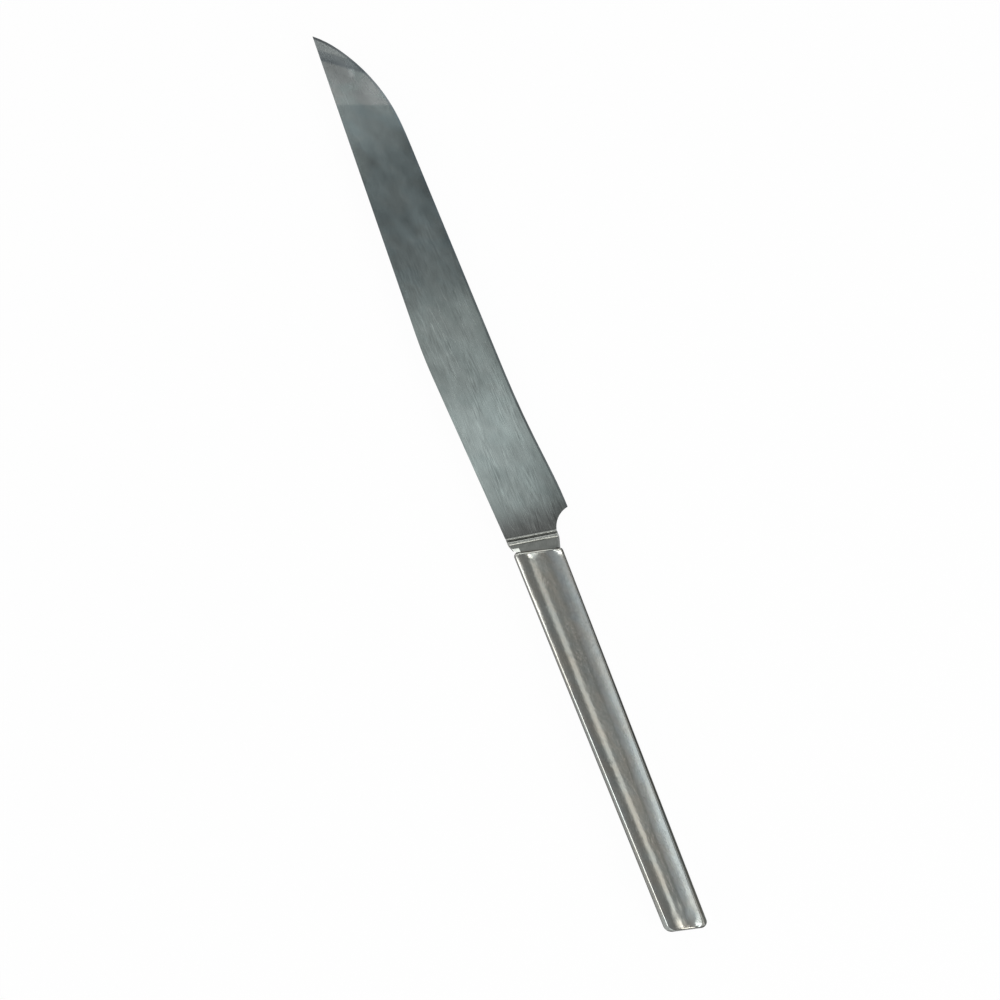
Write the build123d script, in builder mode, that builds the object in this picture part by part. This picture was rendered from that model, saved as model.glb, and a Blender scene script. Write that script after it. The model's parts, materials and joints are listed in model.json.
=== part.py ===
from build123d import *
import os
from math import radians, tan

# Carving knife, all of stainless steel, lying on its side. Millimetres and degrees.
# +X runs from the butt to the tip, +Y from the cutting edge to the spine, +Z up.
# Plan sketches are drawn from the middle of the handle's mouth, at the seam between its halves.

# Lengths along the middle line
handle_length = 143.0  # butt to mouth
collar_length = 6.0  # mouth to foot of the blade
blade_length = 190.0  # foot to tip

# Slant of the joints and of the butt, seen from above
butt_skew = 14.0
mouth_skew = 15.0
foot_skew = 10.8

# Handle, outside
mouth_width = 16.9
butt_width = 14.9
handle_thickness = 10.0
land_width = 3.0  # flat strip along the top of the crown
crown_radius = 12.5
crown_sweep = 60.0  # turn of each crown arc, past the widest side
mouth_draft = 6.0  # lean of the side walls at the mouth
side_draft = 18.0  # the same, at the butt
butt_draft = 5.0  # lean of the butt
fold_radius = 1.1  # between the walls and the crown
crown_lean = 45.0  # crown faces lean less than this from level, walls lean more
mouth_corner_radius = 1.5
butt_spine_radius = 3.2
butt_edge_radius = 2.2

# Handle, inside
wall = 1.0
seam_gap = 0.16  # between the two halves, filled with braze
braze_gap = 0.12  # round the spigot, filled with braze
cement_gap = 0.05  # shrinkage of the cement from the shells
cement_length = 104.0  # from the mouth

# Collar
collar_width = 17.9
waist_width = 15.8
waist_ease = 4.0  # radius of the bends into and out of the waist
collar_draft = 12.0
bead_length = 0.9
groove_length = 0.35
band_length = 1.6
foot_thickness = 4.2
bead_thickness = 5.2
groove_thickness = 4.1
band_thickness = 5.4
neck_foot_thickness = 4.7
neck_thickness = 5.9  # at the handle's mouth
spigot_length = 14.0
spigot_width = 12.0
spigot_thickness = 4.4
tang_gap = 0.1  # between the tang and its slot

# Blade
foot_rise = 9.0  # spine above the middle line, at the foot
bend_rise = 12.2  # the same, where the two runs of the spine meet
tip_rise = 7.0
bend_radius = 180.0
heel_reach = 4.1  # heel ahead of the foot
heel_depth = 15.5  # edge below the middle line, at the heel
flat_depth = 12.3  # the same, where the straight run starts
belly_depth = 11.0  # the same, where the belly starts
foot_depth = 9.0  # the same, at the foot, behind the notch
notch_radius = 8.0
spine_thickness = 2.3
point_thickness = 1.0
edge_thickness = 0.55
bevel_width = 0.8
bevel_drop = 0.2

# Tang
tang_length = 96.0  # from the mouth into the handle
tang_width = 8.6
tang_end_width = 6.0
tang_thickness = 2.2
tang_notch_radius = 1.1

overrun = 5.0  # by which cutting shapes pass what they cut

# Shares of the blade's length, from foot to tip
bend_share = 0.377
flat_share = 0.296
belly_share = 0.748
# Places along the blade, and shares of the climb from belly to tip
belly_shares = ((0.826, 0.056), (0.893, 0.25), (0.959, 0.615))
heel_sweep_share = 0.45
heel_sweep_rise_share = 0.5
tip_slope = 50.0
# Places of the tang's notches along its length
tang_notch_shares = (0.45, 0.62, 0.79)

half_handle = handle_thickness / 2
foot_to_tip = collar_length + blade_length


def on_mouth(side):
    """Point of the mouth's line at a distance to the spine's side."""
    return (side * tan(radians(mouth_skew)), side)


def on_butt(side):
    """Point of the butt's line at a distance to the spine's side."""
    return (side * tan(radians(butt_skew)) - handle_length, side)


def on_foot(side):
    """Point of the line where the blade leaves the collar."""
    return (collar_length + side * tan(radians(foot_skew)), side)


def along_blade(share, side):
    """Point at a share of the blade's length, at a distance to the spine's side."""
    return (collar_length + share * blade_length, side)


# Plan outlines

with BuildSketch() as handle_outline:
    with BuildLine():
        Polyline(
            on_mouth(mouth_width / 2),
            on_butt(butt_width / 2),
            on_butt(-butt_width / 2),
            on_mouth(-mouth_width / 2),
            close=True,
        )
    make_face()

with BuildSketch() as cavity_outline:
    add(handle_outline.sketch)
    offset(amount=-wall, kind=Kind.INTERSECTION, mode=Mode.REPLACE)

with BuildSketch() as cement_outline:
    add(cavity_outline.sketch)
    offset(amount=-cement_gap, kind=Kind.INTERSECTION, mode=Mode.REPLACE)

with BuildSketch() as blade_outline:
    with BuildLine():
        tip = along_blade(1, tip_rise)
        flat_start = along_blade(flat_share, -flat_depth)
        flat_end = along_blade(belly_share, -belly_depth)
        heel = (collar_length + heel_reach, -heel_depth)
        climb = tip_rise + belly_depth
        belly_points = [along_blade(place, rise * climb - belly_depth) for place, rise in belly_shares]
        sweep_point = (
            heel[0] + heel_sweep_share * (flat_start[0] - heel[0]),
            -heel_depth + heel_sweep_rise_share * (heel_depth - flat_depth),
        )
        spine_line = FilletPolyline(
            on_foot(foot_rise), along_blade(bend_share, bend_rise), tip, radius=bend_radius
        )
        edge_flat = Line(flat_start, flat_end)
        edge_belly = Spline(
            flat_end, *belly_points, tip, tangents=[edge_flat % 1, Vector(1, 0).rotate(Axis.Z, tip_slope)]
        )
        edge_sweep = Spline(heel, sweep_point, flat_start, tangents=[Vector(1, 0), edge_flat % 0])
        notch = RadiusArc(heel, on_foot(-foot_depth), -notch_radius)
        Line(notch @ 1, spine_line @ 0)
    make_face()

with BuildSketch() as rounded_outline:
    add(handle_outline.sketch)
    butt_corners = rounded_outline.vertices().sort_by(Axis.X)[:2].sort_by(Axis.Y)
    fillet(butt_corners[1], butt_spine_radius)
    butt_corners = rounded_outline.vertices().sort_by(Axis.Y)
    fillet(butt_corners.sort_by(Axis.X)[0], butt_edge_radius)

# Seat the knife's plane so that the origin lies on the surface, under the middle of the outline
whole = rounded_outline.sketch.bounding_box().add(blade_outline.sketch.bounding_box())
knife = Plane(origin=(-whole.center().X, -whole.center().Y, half_handle))


def across(place):
    """Plane square to the knife, at a distance ahead of the handle's mouth."""
    return Plane(origin=knife.from_local_coords((place, 0, 0)), x_dir=(0, 1, 0), z_dir=(1, 0, 0))


def rectangle_along(start, end, width, thickness, mode):
    """Bar along the knife's middle line."""
    with BuildSketch(across(start)) as section:
        Rectangle(width, thickness)
    extrude(section.sketch, amount=end - start, mode=mode)


# Handle

# Lean of the edge side, the mouth, the spine side and the butt, where each starts and ends
wall_drafts = (
    (side_draft, mouth_draft),
    (0, 0),
    (mouth_draft, side_draft),
    (butt_draft, butt_draft),
)


def corners_round(outline):
    """Corners of the handle's outline, from the butt's corner on the edge side, by way of the mouth."""
    middle = outline.center()
    places = [vertex.center() for vertex in outline.vertices()]
    return sorted(places, key=lambda place: (place - middle).get_signed_angle(Vector(1, 0)))


def drawn_in(corners, height):
    """The same corners at a height up the leaning walls."""
    sides = []
    for start, end, (first, last) in zip(corners, corners[1:] + corners[:1], wall_drafts):
        inward = Vector(0, 0, 1).cross((end - start).normalized())
        raised_start = start + inward * height * tan(radians(first))
        raised_end = end + inward * height * tan(radians(last))
        sides.append(Axis(raised_start, raised_end - raised_start))
    return [before.intersect(after) for before, after in zip(sides[-1:] + sides, sides)]


def half_form(outline, inset):
    """Upper half of the handle, or of its hollow when drawn in by an inset."""
    top = half_handle - inset
    foot_corners = corners_round(outline)
    with BuildPart() as form:
        for height, places in ((0, foot_corners), (top, drawn_in(foot_corners, top))):
            with BuildSketch(knife.offset(height)):
                with BuildLine():
                    Polyline(*places, close=True)
                make_face()
        loft(ruled=True)
        corners = form.edges().filter_by(Plane.XY, reverse=True).sort_by(Axis.X)
        fillet(corners[2:], mouth_corner_radius - inset)
        butt_corners = form.edges().filter_by(Plane.XY, reverse=True).sort_by(Axis.X)[:2]
        fillet(butt_corners.sort_by(Axis.Y)[-1], butt_spine_radius - inset)
        butt_corners = form.edges().filter_by(Plane.XY, reverse=True).sort_by(Axis.X)[:2]
        fillet(butt_corners.sort_by(Axis.Y)[0], butt_edge_radius - inset)
        with BuildSketch(across(-handle_length - overrun - butt_width / 2)):
            with BuildLine():
                land = Line((0, top), (land_width / 2, top))
                crown = JernArc(land @ 1, land % 1, crown_radius - inset, -crown_sweep)
                Polyline(crown @ 1, ((crown @ 1).X, -top), (0, -top), land @ 0)
            make_face()
            mirror(about=Plane.YZ)
        extrude(amount=handle_length + 2 * overrun + butt_width, mode=Mode.INTERSECT)
    return form.part


def is_crown(face):
    """True for the faces of the handle's broad side."""
    return face.normal_at().get_angle(knife.z_dir) < crown_lean


with BuildPart() as outer:
    add(half_form(handle_outline.sketch, 0))
    crown_faces = outer.faces().filter_by(is_crown)
    other_faces = outer.faces() - crown_faces
    rim = crown_faces.edges() & other_faces.edges()
    fillet(rim, fold_radius)
    mirror(about=knife)

with BuildPart() as cavity:
    add(half_form(cavity_outline.sketch, wall))
    mirror(about=knife)

opening_width = spigot_width + 2 * braze_gap
opening_thickness = spigot_thickness + 2 * braze_gap

with BuildPart() as hollow_handle:
    add(outer.part)
    add(cavity.part, mode=Mode.SUBTRACT)
    rectangle_along(-wall - overrun, overrun, opening_width, opening_thickness, Mode.SUBTRACT)

with BuildPart() as handle_shell_front:
    add(hollow_handle.part)
    split(bisect_by=knife.offset(seam_gap / 2), keep=Keep.TOP)
handle_shell_front.part.label = "handle_shell_front"

with BuildPart() as handle_shell_back:
    add(hollow_handle.part)
    split(bisect_by=knife.offset(-seam_gap / 2), keep=Keep.BOTTOM)
handle_shell_back.part.label = "handle_shell_back"

with BuildPart() as seam_braze:
    add(hollow_handle.part)
    split(bisect_by=knife.offset(seam_gap / 2), keep=Keep.BOTTOM)
    split(bisect_by=knife.offset(-seam_gap / 2), keep=Keep.TOP)
seam_braze.part.label = "seam_braze"

with BuildPart() as mouth_braze:
    add(outer.part)
    add(cavity.part, mode=Mode.SUBTRACT)
    rectangle_along(-wall - overrun, overrun, opening_width, opening_thickness, Mode.INTERSECT)
    rectangle_along(-wall - overrun, overrun, spigot_width, spigot_thickness, Mode.SUBTRACT)
mouth_braze.part.label = "mouth_braze"

# Collar

band_end = bead_length + groove_length + band_length

with BuildSketch() as collar_outline:
    with BuildLine():
        ahead = collar_length + foot_rise
        spine_band = (on_foot(collar_width / 2)[0] - band_end, collar_width / 2)
        edge_band = (on_foot(-collar_width / 2)[0] - band_end, -collar_width / 2)
        spine_side = FilletPolyline(
            (ahead, collar_width / 2),
            spine_band,
            on_mouth(waist_width / 2),
            (-waist_width, waist_width / 2),
            radius=waist_ease,
        )
        edge_side = FilletPolyline(
            (-waist_width, -waist_width / 2),
            on_mouth(-waist_width / 2),
            edge_band,
            (ahead, -collar_width / 2),
            radius=waist_ease,
        )
        Line(spine_side @ 1, edge_side @ 0)
        Line(edge_side @ 1, spine_side @ 0)
    make_face()

# The collar's side view is square to the line where the blade leaves it
foot_view = Plane(
    origin=knife.from_local_coords((collar_length, 0, 0)),
    x_dir=Vector(1, 0, 0).rotate(Axis.Z, -foot_skew),
    z_dir=Vector(0, -1, 0).rotate(Axis.Z, -foot_skew),
)
mouth_plane = Plane(origin=knife.origin, z_dir=Vector(1, 0, 0).rotate(Axis.Z, -mouth_skew))

with BuildPart() as bolster_collar:
    with BuildSketch(knife):
        add(collar_outline.sketch)
    extrude(amount=neck_thickness / 2, taper=collar_draft)
    with BuildSketch(foot_view):
        with BuildLine():
            foot = Line((0, 0), (0, foot_thickness / 2))
            bead = ThreePointArc(
                foot @ 1, (-bead_length / 2, bead_thickness / 2), (-bead_length, groove_thickness / 2)
            )
            groove = Line(bead @ 1, bead @ 1 - Vector(groove_length, 0))
            band = ThreePointArc(
                groove @ 1,
                groove @ 1 + Vector(-band_length / 2, (band_thickness - groove_thickness) / 2),
                (-band_end, neck_foot_thickness / 2),
            )
            neck = Line(band @ 1, (-collar_length, neck_thickness / 2))
            behind_neck = -collar_length - collar_width
            Polyline(neck @ 1, (behind_neck, neck_thickness / 2), (behind_neck, 0), foot @ 0)
        make_face()
    extrude(amount=collar_width, both=True, mode=Mode.INTERSECT)
    split(bisect_by=mouth_plane, keep=Keep.TOP)
    mirror(about=knife)
    rectangle_along(-spigot_length, collar_length - band_end, spigot_width, spigot_thickness, Mode.ADD)
    rectangle_along(
        -spigot_length - overrun,
        collar_length + overrun,
        tang_width + 2 * tang_gap,
        tang_thickness + 2 * tang_gap,
        Mode.SUBTRACT,
    )
bolster_collar.part.label = "bolster_collar"

# Blade


def grind_section(place, spine, edge):
    """Wedge across the blade, thick at the spine and thin at the edge."""
    top = max(foot_rise, bend_rise, tip_rise)
    with BuildSketch(across(place)) as section:
        with BuildLine():
            Polyline(
                (-heel_depth, -edge / 2),
                (top, -spine / 2),
                (top, spine / 2),
                (-heel_depth, edge / 2),
                close=True,
            )
        make_face()
    return section.sketch


with BuildSketch() as tang_outline:
    with BuildLine():
        Polyline(
            on_foot(tang_width / 2),
            (-spigot_length, tang_width / 2),
            (-tang_length, tang_end_width / 2),
            (-tang_length, -tang_end_width / 2),
            (-spigot_length, -tang_width / 2),
            on_foot(-tang_width / 2),
            close=True,
        )
    make_face()
    for share in tang_notch_shares:
        half_width = tang_width / 2 + share * (tang_end_width - tang_width) / 2
        for side in (1, -1):
            with Locations((-share * tang_length, side * half_width)):
                Circle(tang_notch_radius, mode=Mode.SUBTRACT)

heel_place = knife.origin.X + heel[0]
tip_place = knife.origin.X + tip[0]
edge_place = knife.origin.Y - heel_depth

with BuildPart() as blade:
    root_section = grind_section(0, spine_thickness, edge_thickness)
    point_section = grind_section(foot_to_tip + overrun, point_thickness, edge_thickness)
    loft([root_section, point_section], ruled=True)
    with BuildSketch(knife):
        add(blade_outline.sketch)
    extrude(amount=spine_thickness, both=True, mode=Mode.INTERSECT)
    for side in (0, 1):
        face = blade.faces().sort_by(SortBy.AREA)[-2:].sort_by(Axis.Z)[side]
        ahead_of_heel = face.edges().filter_by_position(Axis.X, heel_place, tip_place)
        cutting_edge = ahead_of_heel.filter_by_position(Axis.Y, edge_place, knife.origin.Y)
        chamfer(cutting_edge, bevel_width, bevel_drop, reference=face)
    with BuildSketch(knife):
        add(tang_outline.sketch)
    extrude(amount=tang_thickness / 2, both=True)
blade.part.label = "blade"

with BuildPart() as tang_cement:
    add(half_form(cement_outline.sketch, wall + cement_gap))
    mirror(about=knife)
    split(bisect_by=across(-cement_length), keep=Keep.TOP)
    split(bisect_by=across(-spigot_length), keep=Keep.BOTTOM)
    with BuildSketch(knife):
        add(tang_outline.sketch)
    extrude(amount=tang_thickness / 2, both=True, mode=Mode.SUBTRACT)
tang_cement.part.label = "tang_cement"

pieces = [
    blade,
    bolster_collar,
    handle_shell_front,
    handle_shell_back,
    seam_braze,
    mouth_braze,
    tang_cement,
]
os.makedirs("parts", exist_ok=True)
for piece in pieces:
    export_step(piece.part, f"parts/{piece.part.label}.step")
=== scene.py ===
import json
from math import copysign, cos, exp, pi, radians, sin, sqrt, tan
from random import Random

import bmesh
import bpy
from mathutils import Matrix, Vector, noise


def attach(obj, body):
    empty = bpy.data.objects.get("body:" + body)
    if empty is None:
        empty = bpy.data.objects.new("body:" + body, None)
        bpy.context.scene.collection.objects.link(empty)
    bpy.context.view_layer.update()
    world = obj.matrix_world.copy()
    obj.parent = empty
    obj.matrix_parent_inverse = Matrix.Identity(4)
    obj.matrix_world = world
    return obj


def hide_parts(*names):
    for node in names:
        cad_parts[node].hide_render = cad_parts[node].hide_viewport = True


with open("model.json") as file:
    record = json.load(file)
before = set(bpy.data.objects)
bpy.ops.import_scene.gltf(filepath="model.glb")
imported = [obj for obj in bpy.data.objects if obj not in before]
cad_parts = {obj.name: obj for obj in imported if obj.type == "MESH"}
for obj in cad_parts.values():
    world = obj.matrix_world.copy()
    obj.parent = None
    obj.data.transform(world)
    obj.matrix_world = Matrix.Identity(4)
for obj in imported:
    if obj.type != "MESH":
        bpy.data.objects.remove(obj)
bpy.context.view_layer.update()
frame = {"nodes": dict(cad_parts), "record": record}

# A carving knife of stainless steel, lying on its broad side. Metres.
# +X runs from the butt to the tip, +Y from the cutting edge to the spine, +Z up.

nodes = frame["nodes"]
HANDLE_LENGTH = 0.143
CROWN_HEIGHT = 0.005
# Middle of the handle's mouth, at the seam; the mount lies under the middle of the handle
KNIFE = Vector(frame["record"]["mounts"][0]["pos_m"]) + Vector((HANDLE_LENGTH / 2, 0, CROWN_HEIGHT))

# Camera, from places in the photograph of 1000 by 1000 pixels
PHOTO_PIXELS = 1000
PHOTO_WIDTH = 0.350  # the photograph's width at the knife
TIP_PIXEL = (312.5, 36.5)
KNIFE_TURN = radians(21.588)  # of the knife's middle line from the photograph's upright
CAMERA_HEIGHT = 1.6
SENSOR_WIDTH = 36.0  # millimetres


def place_camera():
    """Puts the camera straight above, with the blade's tip at its place in the photograph."""
    tip = max((v.co for v in nodes["blade"].data.vertices), key=lambda co: co.x)
    right = Vector((-sin(KNIFE_TURN), -cos(KNIFE_TURN), 0))
    up = Vector((cos(KNIFE_TURN), -sin(KNIFE_TURN), 0))
    pixel = PHOTO_WIDTH / PHOTO_PIXELS
    middle = PHOTO_PIXELS / 2
    centre = tip - right * (TIP_PIXEL[0] - middle) * pixel - up * (middle - TIP_PIXEL[1]) * pixel
    data = bpy.data.cameras.new("camera")
    data.sensor_width = SENSOR_WIDTH
    data.lens = SENSOR_WIDTH * CAMERA_HEIGHT / PHOTO_WIDTH
    camera = bpy.data.objects.new("camera", data)
    camera.matrix_world = Matrix.Translation(centre + Vector((0, 0, CAMERA_HEIGHT))) @ Matrix(
        (
            (right.x, up.x, 0, 0),
            (right.y, up.y, 0, 0),
            (0, 0, 1, 0),
            (0, 0, 0, 1),
        )
    )
    bpy.context.scene.collection.objects.link(camera)
    bpy.context.scene.camera = camera


# Node graphs

SCRATCH_WHOLE = 0.2  # a scratch begins to fade at this share of its length from its middle


class Graph:
    """A node tree to which nodes are added with their inputs."""

    def __init__(self, tree):
        self.tree = tree
        tree.nodes.clear()

    def add(self, kind, inputs=(), **settings):
        node = self.tree.nodes.new(kind)
        for name, value in settings.items():
            setattr(node, name, value)
        for name, value in dict(inputs).items():
            if isinstance(value, bpy.types.NodeSocket):
                self.tree.links.new(value, node.inputs[name])
            else:
                node.inputs[name].default_value = value
        return node

    def math(self, operation, a, b=0.0):
        return self.add("ShaderNodeMath", {0: a, 1: b}, operation=operation).outputs[0]

    def ramp(self, value, stops):
        """Colour ramp through (place, colour or grey) stops."""
        node = self.add("ShaderNodeValToRGB", {"Fac": value})
        elements = node.color_ramp.elements
        while len(elements) < len(stops):
            elements.new(1)
        for element, (place, shade) in zip(elements, stops):
            element.position = place
            element.color = (*shade, 1) if isinstance(shade, tuple) else (shade, shade, shade, 1)
        return node.outputs["Color"]

    def remap(self, value, low, high, to_low, to_high, smooth=False):
        """Value carried from one range to another and held inside it."""
        kind = "SMOOTHSTEP" if smooth else "LINEAR"
        inputs = {
            "Value": value,
            "From Min": low,
            "From Max": high,
            "To Min": to_low,
            "To Max": to_high,
        }
        return self.add("ShaderNodeMapRange", inputs, interpolation_type=kind).outputs["Result"]

    def mask(self, value, start, full):
        """0 where a value has not reached its start, 1 where it is full, and smooth between them."""
        return self.remap(value, start, full, 0, 1, smooth=True)

    def blend(self, factor, a, b):
        """Colour between two others."""
        node = self.add("ShaderNodeMix", data_type="RGBA")
        for name, value in (("Factor_Float", factor), ("A_Color", a), ("B_Color", b)):
            socket = next(s for s in node.inputs if s.identifier == name)
            if isinstance(value, bpy.types.NodeSocket):
                self.tree.links.new(value, socket)
            else:
                socket.default_value = (*value, 1)
        return next(s for s in node.outputs if s.identifier == "Result_Color")

    def place(self):
        """Place on the knife, from the middle of the handle's mouth at the seam."""
        coordinates = self.add("ShaderNodeTexCoord").outputs["Object"]
        moved = self.add("ShaderNodeVectorMath", {0: coordinates, 1: KNIFE}, operation="SUBTRACT")
        return moved.outputs[0]

    def grain(self, sizes, turn, shift, detail):
        """Noise with patches of the given length, width and height, turned about the upright."""
        inputs = {
            "Vector": self.place(),
            "Location": (shift, shift, shift),
            "Rotation": (0, 0, turn),
            "Scale": sizes,
        }
        stretched = self.add("ShaderNodeMapping", inputs, vector_type="TEXTURE")
        inputs = {"Vector": stretched.outputs[0], "Scale": 1.0, "Detail": detail}
        return self.add("ShaderNodeTexNoise", inputs).outputs["Fac"]

    def hairlines(self, sizes, turn, shift, thinness):
        """Thin lines where a stretched noise crosses its middle value."""
        waves = self.grain(sizes, turn, shift, 1.0)
        off = self.math("ABSOLUTE", self.math("SUBTRACT", waves, 0.5))
        return self.remap(off, 0, thinness, 1, 0, smooth=True)

    def distance_along(self, direction):
        """How far a place lies along a direction in plan."""
        inputs = {0: self.place(), 1: (*direction, 0)}
        return self.add("ShaderNodeVectorMath", inputs, operation="DOT_PRODUCT").outputs["Value"]

    def scratch(self, start, end, width):
        """Mask of a straight scratch or soft patch between two places."""
        start = Vector(start)
        way = Vector(end) - start
        along = way.normalized()
        aside = Vector((-along.y, along.x))
        off = self.math("SUBTRACT", self.distance_along(aside), start.dot(aside))
        thin = self.remap(self.math("ABSOLUTE", off), 0, width, 1, 0, smooth=True)
        passed = self.math("SUBTRACT", self.distance_along(along), start.dot(along))
        share = self.math("DIVIDE", passed, way.length)
        from_middle = self.math("ABSOLUTE", self.math("SUBTRACT", share, 0.5))
        whole = self.remap(from_middle, SCRATCH_WHOLE, 0.5, 1, 0, smooth=True)
        return self.math("MULTIPLY", thin, whole)

    def weighted(self, start, masks, weights):
        """Start value plus each named mask's distance from a middle value times its weight."""
        total = start
        for name, (middle, weight) in weights.items():
            off = self.math("SUBTRACT", masks[name], middle)
            total = self.math("ADD", total, self.math("MULTIPLY", off, weight))
        return total

    def tinted(self, tone, color):
        """Colour scaled by a tone."""
        scaled = self.add("ShaderNodeVectorMath", {0: color, "Scale": tone}, operation="SCALE")
        return scaled.outputs[0]

    def metal(self, color, roughness, height, distance, brushed=0.0, grazing=None):
        """Metal with its bumps.

        Brushed is the stretch of its highlights across the knife. Grazing is the share of the usual
        reflection that is left where the metal is seen at a low angle.
        """
        bump = self.add("ShaderNodeBump", {"Height": height, "Distance": distance, "Strength": 1.0})
        inputs = {"Base Color": color, "Metallic": 1.0, "Roughness": roughness}
        inputs["Normal"] = bump.outputs[0]
        if grazing is not None:
            inputs["Specular Tint"] = grazing
        if brushed:
            inputs["Anisotropic"] = brushed
            across = self.add("ShaderNodeCombineXYZ", {0: 0.0, 1: 1.0, 2: 0.0})
            inputs["Tangent"] = across.outputs[0]
        shader = self.add("ShaderNodeBsdfPrincipled", inputs)
        self.add("ShaderNodeOutputMaterial", {"Surface": shader.outputs[0]})


def new_graph(name):
    """Empty material and its graph."""
    material = bpy.data.materials.new(name)
    material.use_nodes = True
    return material, Graph(material.node_tree)


# Stage

FLOOR_SIZE = 6.0
FLOOR_SHADE = 0.82
FLOOR_WHITE_SEEN = 0.965  # share of plain white in the floor as the camera sees it
FLOOR_WHITE_MIRRORED = 0.15  # and as metal mirrors it
# Shades of the dome by the lean from upright towards the spine's side, in degrees
SHADES_ACROSS = (
    (-90, 0.06),
    (-76, 0.08),
    (-66, (0.55, 0.57, 0.61)),
    (-56, (0.60, 0.62, 0.66)),
    (-45, (0.53, 0.55, 0.58)),
    (-36, (0.46, 0.48, 0.51)),
    (-25, (0.40, 0.41, 0.43)),
    (-15, (0.34, 0.345, 0.36)),
    (-6, 0.28),
    (30, 0.26),
    (60, 0.35),
    (90, 0.6),
)
# Shades of the dome by the lean from upright towards the tip, in degrees, and where they take over
SHADES_ALONG = ((-90, 0.3), (-50, 0.3), (-38, 0.2), (38, 0.16), (50, 0.16), (56, 1.6), (90, 1.6))
ALONG_FROM, ALONG_FULL = 14, 30
WARM = (1.0, 0.975, 0.93)
COOL = (0.93, 0.98, 1.0)
WHITE = (1.0, 1.0, 1.0)
# Name, lean from upright towards the spine's side in degrees, length, width, radiance, colour,
# distance from the knife's middle line, and place along it from the handle's mouth
LAMPS = (
    ("spine_strip", 11, 0.62, 0.31, 0.95, WARM, 1.2, -0.34),
    ("spine_strip_mouth", 19.5, 0.16, 0.12, 0.7, WARM, 1.2, -0.06),
    ("edge_box", -41, 0.16, 0.22, 0.26, COOL, 0.45, -0.13),
    ("edge_box_far", -46, 0.50, 0.42, 0.46, COOL, 1.2, -0.36),
    ("edge_fill", -18, 0.50, 0.38, 0.2, COOL, 1.2, -0.36),
    ("spine_window", 68, 0.76, 0.5, 2.3, WHITE, 1.2, -0.07),
    ("blade_lamp", 0, 0.046, 0.08, 0.66, COOL, 0.17, 0.036),
    ("blade_lamp_far", 0, 0.06, 0.10, 0.42, COOL, 0.22, 0.075),
    ("mouth_glint", 13, 0.37, 0.16, 4.6, WARM, 1.2, 0.315),
    ("butt_glint", 9, 2.0, 0.16, 4.5, WARM, 1.2, -1.40),
    ("butt_glint_edge", -38, 1.0, 0.5, 4.0, COOL, 1.2, -0.90),
    ("butt_low", 16.7, 1.4, 0.16, 4.5, WARM, 0.522, -1.55),
    ("butt_low_edge", -58, 1.4, 0.5, 4.0, COOL, 0.943, -1.55),
    ("corner_glint", -58, 0.6, 0.35, 4.5, WHITE, 1.2, 0.45),
    ("corner_glint_spine", 50, 0.5, 0.4, 4.0, WHITE, 1.2, 0.9),
)


def make_floor():
    """Pale floor under the knife, which stays white to the camera apart from the knife's shadow."""
    mesh = bpy.data.meshes.new("floor")
    half = FLOOR_SIZE / 2
    corners = [(-half, -half, 0), (half, -half, 0), (half, half, 0), (-half, half, 0)]
    mesh.from_pydata(corners, [], [(0, 1, 2, 3)])
    floor = bpy.data.objects.new("floor", mesh)
    bpy.context.scene.collection.objects.link(floor)
    material, g = new_graph("floor_paint")
    path = g.add("ShaderNodeLightPath")
    seen = g.math("MAXIMUM", path.outputs["Is Camera Ray"], path.outputs["Is Transmission Ray"])
    mirrored = g.math("MULTIPLY", path.outputs["Is Glossy Ray"], FLOOR_WHITE_MIRRORED)
    share = g.math("ADD", g.math("MULTIPLY", seen, FLOOR_WHITE_SEEN), mirrored)
    paint = g.add("ShaderNodeBsdfDiffuse", {"Color": (FLOOR_SHADE, FLOOR_SHADE, FLOOR_SHADE, 1)})
    glow = g.add("ShaderNodeEmission", {"Color": (1, 1, 1, 1), "Strength": 1.0})
    mixed = g.add("ShaderNodeMixShader", {0: share, 1: paint.outputs[0], 2: glow.outputs[0]})
    g.add("ShaderNodeOutputMaterial", {"Surface": mixed.outputs[0]})
    mesh.materials.append(material)


def dome_shades(g, lean, shades):
    """Ramp of dome shades over a lean in degrees."""
    stops = [((stop + 90) / 180, shade) for stop, shade in shades]
    return g.ramp(g.remap(lean, -90, 90, 0, 1), stops)


def make_world():
    """Soft studio dome, dim overhead and dark low on the edge's side, white to the camera."""
    world = bpy.data.worlds.new("studio")
    bpy.context.scene.world = world
    world.use_nodes = True
    g = Graph(world.node_tree)
    direction = g.add("ShaderNodeTexCoord").outputs["Generated"]
    parts = g.add("ShaderNodeSeparateXYZ", {0: direction}).outputs
    across = g.math("DEGREES", g.math("ARCTAN2", parts["Y"], parts["Z"]))
    along = g.math("DEGREES", g.math("ARCSINE", parts["X"]))
    share = g.remap(g.math("ABSOLUTE", along), ALONG_FROM, ALONG_FULL, 0, 1, smooth=True)
    shades = (dome_shades(g, across, SHADES_ACROSS), dome_shades(g, along, SHADES_ALONG))
    dome = g.blend(share, *shades)
    path = g.add("ShaderNodeLightPath")
    light = g.add("ShaderNodeBackground", {"Color": dome, "Strength": 1.0})
    white = g.add("ShaderNodeBackground", {"Color": (1, 1, 1, 1), "Strength": 1.0})
    inputs = {0: path.outputs["Is Camera Ray"], 1: light.outputs[0], 2: white.outputs[0]}
    mixed = g.add("ShaderNodeMixShader", inputs)
    g.add("ShaderNodeOutputWorld", {"Surface": mixed.outputs[0]})


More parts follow.
